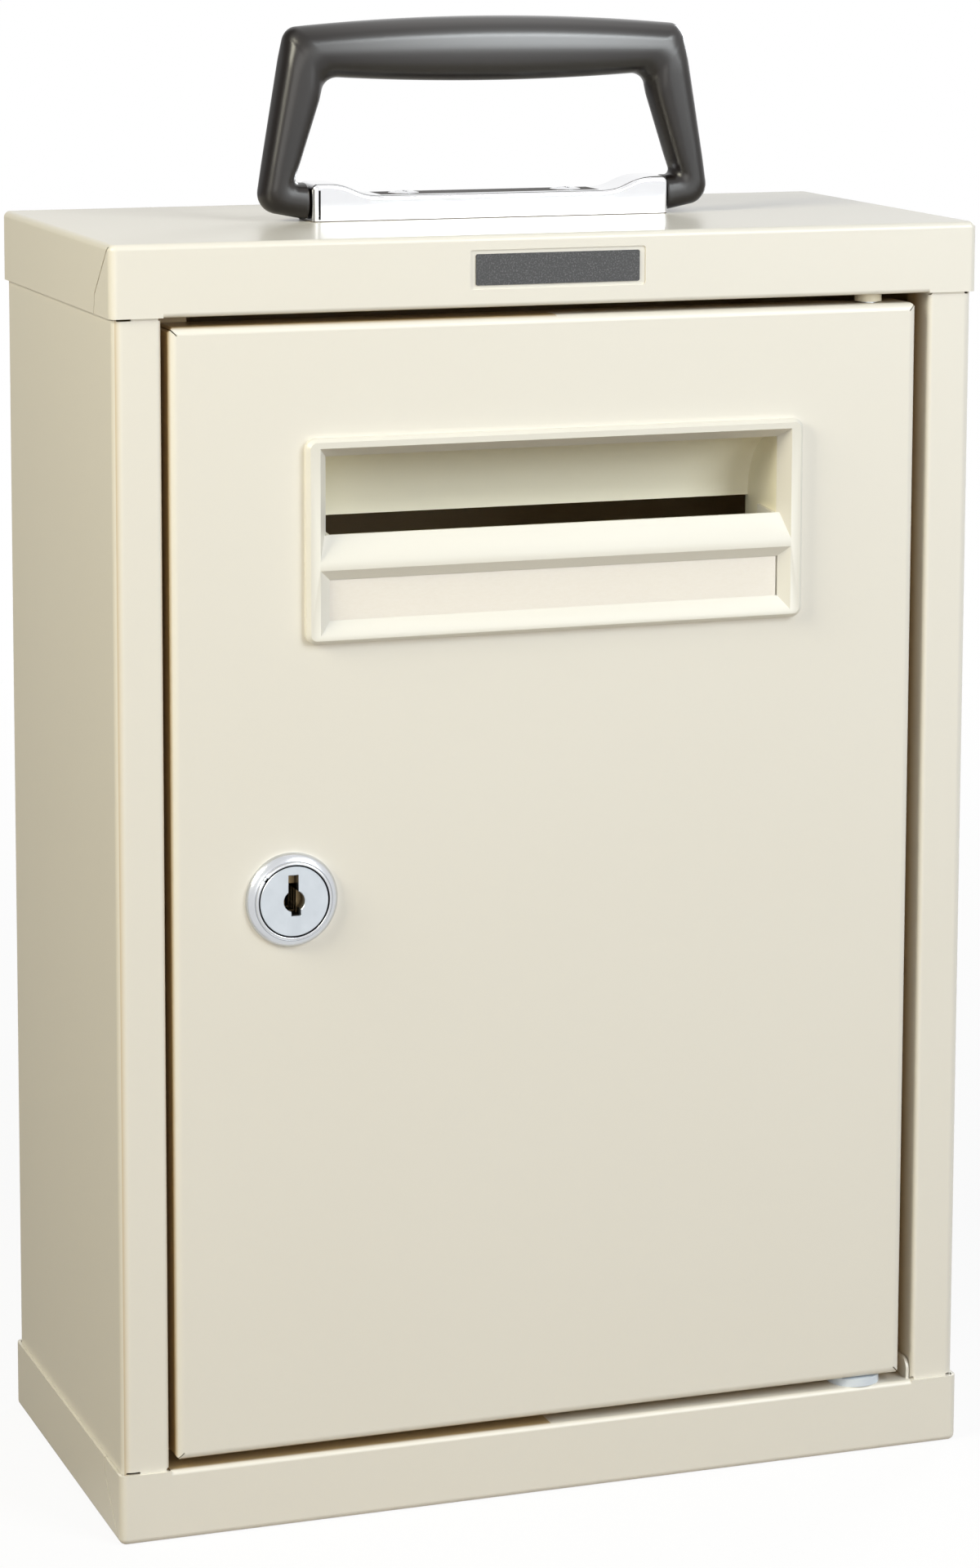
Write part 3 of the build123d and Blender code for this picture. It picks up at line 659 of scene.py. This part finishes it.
# A merged copy of a folded or moulded node, so that its bends and rounds shade smoothly
def smoothedNode(node):
    source = nodes[node].data
    points = np.empty(len(source.vertices) * 3)
    source.vertices.foreach_get("co", points)
    ends = np.empty(len(source.loops), dtype=np.int32)
    source.loops.foreach_get("vertex_index", ends)
    steps = np.round(points.reshape(-1, 3) / micron).astype(np.int64)
    merged, place = np.unique(steps, axis=0, return_inverse=True)
    faces = place.reshape(-1)[ends].reshape(-1, 3)
    whole = (faces[:, 0] != faces[:, 1]) & (faces[:, 1] != faces[:, 2]) & (faces[:, 2] != faces[:, 0])
    mesh = bpy.data.meshes.new(node + "Skin")
    mesh.from_pydata(merged * micron, [], faces[whole].tolist())
    softenShading(takePlace(mesh, node), smoothCrease)


smoothed = [
    "body_shell", "top_cap", "bottom_cap", "door_panel", "slot_bezel", "slot_hood", "handle_saddle",
    "hinge_washer", "hinge_bush", "name_plate", "lock_nut", "lock_washer", "cam_screw",
]
for node in smoothed:
    smoothedNode(node)
print("bent sheet and mouldings smoothed:", len(smoothed))


# Carrying bail: millimetres in the front view, left half, from the inward turn up to the crown
bail = {
    "toeEnd": -49.0,
    "toeRound": 0.35,
    "outerCorners": [(-49.35, 326.45), (-61.85, 328.9), (-54.0, 375.3), (0.0, 375.3)],
    "outerRadii": [5.0, 3.2],
    "innerCorners": [(-49.35, 335.75), (-52.5, 335.75), (-43.7, 362.7), (0.0, 362.7)],
    "innerRadii": [1.5, 5.0],
    "steps": [(10, 18), (34, 16), (44, 0)],     # along each straight run and round the arc after it
    "crownHalf": 54.0,
    "crownRise": 2.6,
    "crownOver": (350.0, 370.0),                # heights over which the crown's rise comes in
    "bellyHalf": 43.7,
    "bellyDrop": 1.5,
    "bellyOver": (350.0, 360.0),
    "footDepth": 5.4,                           # half, front to back
    "crownDepth": 6.6,
    "depthOver": (332.0, 372.0),
    "footSquareness": 2.5,                      # exponent of the section's superellipse
    "legSquareness": 3.0,
    "legOver": (333.0, 341.0),
    "gripSquareness": 2.15,
    "gripOver": (362.0, 367.0),
    "around": 72,
    "crease": 50.0,
}


# Straight runs joined by arcs: an arc touches both runs at its radius times the tangent of half the turn
def roundedRail(points, radii, steps):
    points = np.array(points, dtype=float)
    cursor = points[0]
    parts = []
    for n, radius in enumerate(radii):
        corner = points[n + 1]
        into = (corner - points[n]) / np.linalg.norm(corner - points[n])
        leave = (points[n + 2] - corner) / np.linalg.norm(points[n + 2] - corner)
        turn = np.arccos(np.dot(into, leave))
        side = (leave - into * np.cos(turn)) / np.sin(turn)
        first = corner - into * radius * np.tan(turn / 2)
        along = (np.arange(steps[n][0]) / steps[n][0])[:, None]
        parts.append(cursor + (first - cursor) * along)
        angle = (turn * np.arange(steps[n][1]) / steps[n][1])[:, None]
        parts.append(first + radius * (side * (1 - np.cos(angle)) + into * np.sin(angle)))
        cursor = corner + leave * radius * np.tan(turn / 2)
    along = np.linspace(0, 1, steps[-1][0])[:, None]
    parts.append(cursor + (points[-1] - cursor) * along)
    return np.concatenate(parts)


# How far heights have climbed through a span, from 0 to 1
def climbed(height, span):
    return np.clip((height - span[0]) / (span[1] - span[0]), 0, 1)


# An arch: the most at the middle, less by the square of the way out, and coming in with height
def arched(rail, most, half, span):
    return most * (1 - np.clip(rail[:, 0] / half, -1, 1) ** 2) * climbed(rail[:, 1], span)


# Section: half the span between the two rails times cos^(2/n), and the half depth times sin^(2/n)
def bailGrid():
    outer = roundedRail(bail["outerCorners"], bail["outerRadii"], bail["steps"])
    inner = roundedRail(bail["innerCorners"], bail["innerRadii"], bail["steps"])
    outer[:, 1] += arched(outer, bail["crownRise"], bail["crownHalf"], bail["crownOver"])
    inner[:, 1] -= arched(inner, bail["bellyDrop"], bail["bellyHalf"], bail["bellyOver"])
    middle, reach = (outer + inner) / 2, (outer - inner) / 2
    height = middle[:, 1]
    deeper = bail["crownDepth"] - bail["footDepth"]
    squarer = bail["legSquareness"] - bail["footSquareness"]
    rounder = bail["gripSquareness"] - bail["legSquareness"]
    depth = bail["footDepth"] + deeper * climbed(height, bail["depthOver"])
    squareness = bail["footSquareness"] + squarer * climbed(height, bail["legOver"])
    power = 2 / (squareness + rounder * climbed(height, bail["gripOver"]))
    angle = np.linspace(0, 2 * np.pi, bail["around"] + 1)
    cosine, sine = np.cos(angle)[None, :], np.sin(angle)[None, :]
    across = np.sign(cosine) * np.abs(cosine) ** power[:, None]
    deep = np.sign(sine) * np.abs(sine) ** power[:, None]
    grid = np.stack([
        middle[:, :1] + reach[:, :1] * across,
        depth[:, None] * deep,
        middle[:, 1:] + reach[:, 1:] * across,
    ], axis=-1)
    centre = np.array([bail["toeEnd"], 0.0, middle[0, 1]])
    shrink = 1 - bail["toeRound"] / bail["footDepth"]
    rim = centre + (grid[0] - grid[0].mean(axis=0)) * shrink
    rim[:, 0] = bail["toeEnd"]
    grid = np.concatenate([np.broadcast_to(centre, rim.shape)[None], rim[None], grid])
    return np.concatenate([grid, (grid * np.array([-1, 1, 1]))[-2::-1]])    # and the right half, mirrored


skinFromGrids("handle_bail", [bailGrid()], bail["crease"])
print("bail carried between its rails")


# Screws of the saddle: low domes with a cross
screw = {
    "spacing": 44.5,
    "headHeight": 0.9,      # of the CAD head, whose seat this one keeps
    "rim": 4.0,
    "rimRise": 0.1,
    "rise": 0.42,
    "power": 2.4,
    "shank": 2.0,
    "crossHalf": 0.42,
    "crossSlope": 0.1,
    "crossReach": 2.2,
    "crossEnd": 0.2,
    "crossDepth": 0.3,
    "rings": 40,
    "around": 128,
    "crease": 40.0,
}


# Dome: the rise times 1 - (radius over rim)^power, less the cross, which fades at its edges and ends
def screwGrid(x):
    low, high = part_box("handle_screws")
    seat, bottom = high[2] / mm - screw["headHeight"], low[2] / mm
    y = (low[1] + high[1]) / 2 / mm
    dome = screw["rim"] * np.linspace(1, 0, screw["rings"])
    radius = np.concatenate([[0, screw["shank"], screw["shank"], screw["rim"]], dome])[:, None]
    angle = np.linspace(0, 2 * np.pi, screw["around"] + 1)[None, :]
    u, v = radius * np.cos(angle), radius * np.sin(angle)
    arm = np.clip((screw["crossHalf"] - np.minimum(abs(u), abs(v))) / screw["crossSlope"], 0, 1)
    arm = arm * np.clip((screw["crossReach"] - np.maximum(abs(u), abs(v))) / screw["crossEnd"], 0, 1)
    top = screw["rimRise"] + screw["rise"] * (1 - (radius / screw["rim"]) ** screw["power"])
    height = seat + top - screw["crossDepth"] * arm
    height[:2] = bottom
    height[2:4] = seat
    return np.stack([x + u, y + v, height], axis=-1)


screwGrids = [screwGrid(side * screw["spacing"] / 2) for side in (-1, 1)]
skinFromGrids("handle_screws", screwGrids, screw["crease"])
print("saddle screws turned")


# Turned pieces: a profile of (radius, height over the door) carried once round the lock's axis
doorFace = -54.7
tiny = 1e-9             # keeps divisions away from zero
lockRing = {
    "steps": 192,
    "barrel": 9.5,          # behind the door, with two flats
    "flatHalf": 8.3,
    "profile": [
        (11.9, 0.0), (11.9, 0.5), (11.83, 0.8), (11.7, 1.1), (11.48, 1.4), (11.2, 1.67),
        (10.85, 1.92), (10.5, 2.13), (10.15, 2.30), (10.08, 2.22), (10.0, 2.18), (9.94, 2.3),
        (9.86, 2.56), (9.74, 2.7), (9.55, 2.79), (9.42, 2.8), (9.30, 2.8), (9.22, 2.77),
        (9.18, 2.7), (9.18, 0.72), (7.08, 0.72), (7.08, -14.4), (9.5, -14.4), (9.5, 0.0), (11.9, 0.0),
    ],
    "indexAngle": 140.0,    # of the notch in its rim, in degrees
    "indexHalf": 3.0,
    "indexDepth": 0.5,
    "indexWithin": 9.8,
    "indexAbove": 2.5,
    "crease": 40.0,
}


# A radius and a height over the door, turned to an angle round the lock's axis
def turned(radius, height, angle):
    x, z = lockCentre()
    y = doorFace - height + 0 * angle
    return np.stack([x + radius * np.cos(angle), y, z + radius * np.sin(angle)], axis=-1)


# The ring: its profile at every angle, with the barrel no wider than half its flats over the angle's sine
def lockRingGrid():
    radius, height = np.array(lockRing["profile"]).T
    angle = np.linspace(0, 2 * np.pi, lockRing["steps"] + 1)[None, :]
    radius, height = radius[:, None], height[:, None]
    flats = lockRing["flatHalf"] / np.maximum(np.abs(np.sin(angle)), tiny)
    behind = (height <= 0) & (radius == lockRing["barrel"])
    spread = np.where(behind, np.minimum(radius, flats), radius + 0 * angle)
    away = np.abs(np.degrees(angle) - lockRing["indexAngle"]) / lockRing["indexHalf"]
    rim = (radius < lockRing["indexWithin"]) & (height > lockRing["indexAbove"])
    return turned(spread, height - lockRing["indexDepth"] * (away < 1) * rim, angle)


skinFromGrids("lock_body", [lockRingGrid()], lockRing["crease"])

keyway = {
    "bore": 2.7,
    "upper": (-1.55, 1.05, 6.6),    # left, right and height of the slot over the bore
    "lower": (-0.8, 1.6, 3.7),      # and under it
    "chamfer": 0.14,
    "depth": 12.5,
    "face": 8.82,
    "faceHeight": 2.8,
    "shank": 7.0,
    "shoulder": 0.8,
    "back": -14.8,
    "around": 256,
    "corner": 0.002,                # turn either side of the slots' corners
    "crease": 30.0,
}


# The keyway's edge: at each angle the farther of the bore's circle and the slot's sides or end
def keywayRadius(angle):
    cosine, sine = np.cos(angle), np.sin(angle)
    left = np.where(sine > 0, -keyway["upper"][0], -keyway["lower"][0])
    right = np.where(sine > 0, keyway["upper"][1], keyway["lower"][1])
    end = np.where(sine > 0, keyway["upper"][2], keyway["lower"][2])
    side = np.where(cosine > 0, right, left) / np.maximum(np.abs(cosine), tiny)
    return np.maximum(keyway["bore"], np.minimum(side, end / np.maximum(np.abs(sine), tiny)))


# Angles all round, with the slots' corners among them
def keywayAngles():
    marks = []
    for slot, sign in ((keyway["upper"], 1), (keyway["lower"], -1)):
        marks += [np.arctan2(sign * slot[2], slot[side]) for side in (0, 1)]
    marks = np.mod(np.array(marks), 2 * np.pi)
    even = np.linspace(0, 2 * np.pi, keyway["around"] + 1)
    return np.unique(np.concatenate([even, marks, marks + keyway["corner"], marks - keyway["corner"]]))


# The plug: a radius and a height for each row, from its back round its edge to the floor of the keyway
def plugGrid():
    angle = keywayAngles()
    slot, whole = keywayRadius(angle), np.ones_like(angle)
    top, small = keyway["faceHeight"], keyway["chamfer"]
    floor = top - keyway["depth"]
    rows = [
        (0 * whole, keyway["back"]), (keyway["shank"] * whole, keyway["back"]),
        (keyway["shank"] * whole, keyway["shoulder"]), (keyway["face"] * whole, keyway["shoulder"]),
        (keyway["face"] * whole, top - small), ((keyway["face"] - small) * whole, top),
        (slot + small, top), (slot, top - small), (slot, floor), (0 * whole, floor),
    ]
    return np.stack([turned(radius, height, angle) for radius, height in rows])


skinFromGrids("lock_plug", [plugGrid()], keyway["crease"])
print("lock turned, with its keyway")


# Studio: pale floor, white surround and soft lamps
studio = {
    "floorHalf": 6.0,
    "paper": (0.92, 0.92, 0.92),
    "bounce": (0.30, 0.24, 0.15),   # what the floor sends back up at the box
    "mottle": (3.0, 2.0),
    "mottleShare": 0.03,
    "mottleTone": (0.7, 0.7, 0.7),
    "floorNear": 0.90,              # how much of the floor is plain white beside the box
    "fadeOver": (0.3, 1.1),         # metres away, over which the rest turns white too
    "white": (1.0, 1.0, 1.0),
    "mirroredLeft": (0.22, 0.22, 0.22),     # the dim room that the left side reflects
    "floorLeft": -0.105,            # edges of the dim part of the floor, and how fast it comes in past them
    "floorLeftClimb": 100.0,
    "floorBack": -0.12,
    "floorBackClimb": 8.0,
    "roomLeft": 0.1,                # and of the surround, in its own directions
    "roomLeftClimb": 2.5,
    "roomBackClimb": 3.0,
    "fromLeft": (0.03, 0.03, 0.03),
    "fromRight": (0.04, 0.04, 0.05),
}


def makeFloor():
    half = studio["floorHalf"]
    mesh = bpy.data.meshes.new("floor")
    rim = [(-half, -half, 0), (half, -half, 0), (half, half, 0), (-half, half, 0)]
    mesh.from_pydata(rim, [], [(0, 1, 2, 3)])
    floor = bpy.data.objects.new("floor", mesh)
    scene.collection.objects.link(floor)
    finish = Finish("floorPaper")
    where = finish.place()
    seen = finish.lightPath("Is Camera Ray", "Is Glossy Ray", "Is Transmission Ray")
    mottle = finish.noise(where, *studio["mottle"]) * studio["mottleShare"]
    colour = finish.blend(seen, studio["bounce"], studio["paper"])
    colour = finish.blend(mottle, colour, studio["mottleTone"])
    paper = finish.add("ShaderNodeBsdfDiffuse", {}, {"Color": colour})
    across, deep, _ = finish.split(where)
    leftward = ((studio["floorLeft"] - across) * studio["floorLeftClimb"]).clamped()
    leftward = leftward * ((deep - studio["floorBack"]) * studio["floorBackClimb"]).clamped()
    leftward = leftward * finish.lightPath("Is Glossy Ray")
    light = finish.blend(leftward, studio["white"], studio["mirroredLeft"])
    glow = finish.add("ShaderNodeEmission", {}, {"Color": light, "Strength": 1.0})
    away = finish.add("ShaderNodeVectorMath", {"operation": "LENGTH"}, {0: where}, out=1)
    amount = varied(ramped(away, *studio["fadeOver"]), studio["floorNear"], 1 - studio["floorNear"])
    finish.put(finish.surface, finish.add("ShaderNodeMixShader", {}, {0: seen * amount, 1: paper, 2: glow}))
    mesh.materials.append(finish.material)


# White to the camera, a dim room to reflections on the left, and a faint light all round
def makeSurround():
    world = bpy.data.worlds.new("surround")
    world.use_nodes = True
    scene.world = world
    sky = Finish("surround", world)
    across, deep, _ = sky.split(sky.add("ShaderNodeTexCoord", out="Generated"))
    leftward = ((studio["roomLeft"] - across) * studio["roomLeftClimb"]).clamped()
    leftward = leftward * (deep * studio["roomBackClimb"]).clamped()
    light = sky.blend(leftward, studio["fromRight"], studio["fromLeft"])
    mirrored = sky.blend(leftward, studio["white"], studio["mirroredLeft"])
    reflected = sky.blend(sky.lightPath("Is Glossy Ray"), light, mirrored)
    shown = sky.lightPath("Is Camera Ray", "Is Transmission Ray")
    colour = sky.blend(shown, reflected, studio["white"])
    sky.put(sky.surface, sky.add("ShaderNodeBackground", {}, {"Color": colour}))


lamps = {
    "high": {"place": (0.50, -0.80, 0.92), "aim": (0.0, 0.0, 0.28), "size": (0.6, 0.10), "power": 3.5,
             "tint": (0.93, 0.98, 1.0)},
    "key": {"place": (0.60, -1.05, 0.60), "aim": (0.0, 0.0, 0.26), "size": (0.6, 0.56), "power": 6.5,
            "tint": (0.93, 0.98, 1.0)},
    "front": {"place": (-0.40, -1.55, 0.45), "aim": (0.0, 0.0, 0.24), "size": (1.0, 0.6), "power": 4.7,
              "tint": (1.0, 0.99, 0.94)},
    "left": {"place": (-0.8, -0.3, 0.72), "aim": (-0.1, 0.0, 0.26), "size": (0.4, 0.4), "power": 7.0,
             "tint": (1.0, 0.96, 0.78)},
    "above": {"place": (0.1, 0.1, 1.25), "aim": (0.0, 0.0, 0.3), "size": (0.8, 0.6), "power": 0.5,
              "tint": (1.0, 0.97, 0.93)},
    "behind": {"place": (1.25, 1.2, 0.75), "aim": (0.0, 0.0, 0.2), "size": (0.6, 0.6), "power": 12.0,
               "tint": (0.95, 0.98, 1.0)},
}


def makeLamp(name, lamp):
    data = bpy.data.lights.new(name, "AREA")
    data.shape = "RECTANGLE"
    data.size, data.size_y = lamp["size"]
    data.energy = lamp["power"]
    data.color = lamp["tint"]
    holder = bpy.data.objects.new(name, data)
    holder.location = lamp["place"]
    aim = Vector(lamp["aim"]) - Vector(lamp["place"])
    holder.rotation_euler = aim.to_track_quat("-Z", "Y").to_euler()
    scene.collection.objects.link(holder)


makeFloor()
makeSurround()
for name, lamp in lamps.items():
    makeLamp(name, lamp)
scene.view_settings.view_transform = "Standard"
print("studio lit")

bpy.context.view_layer.update()
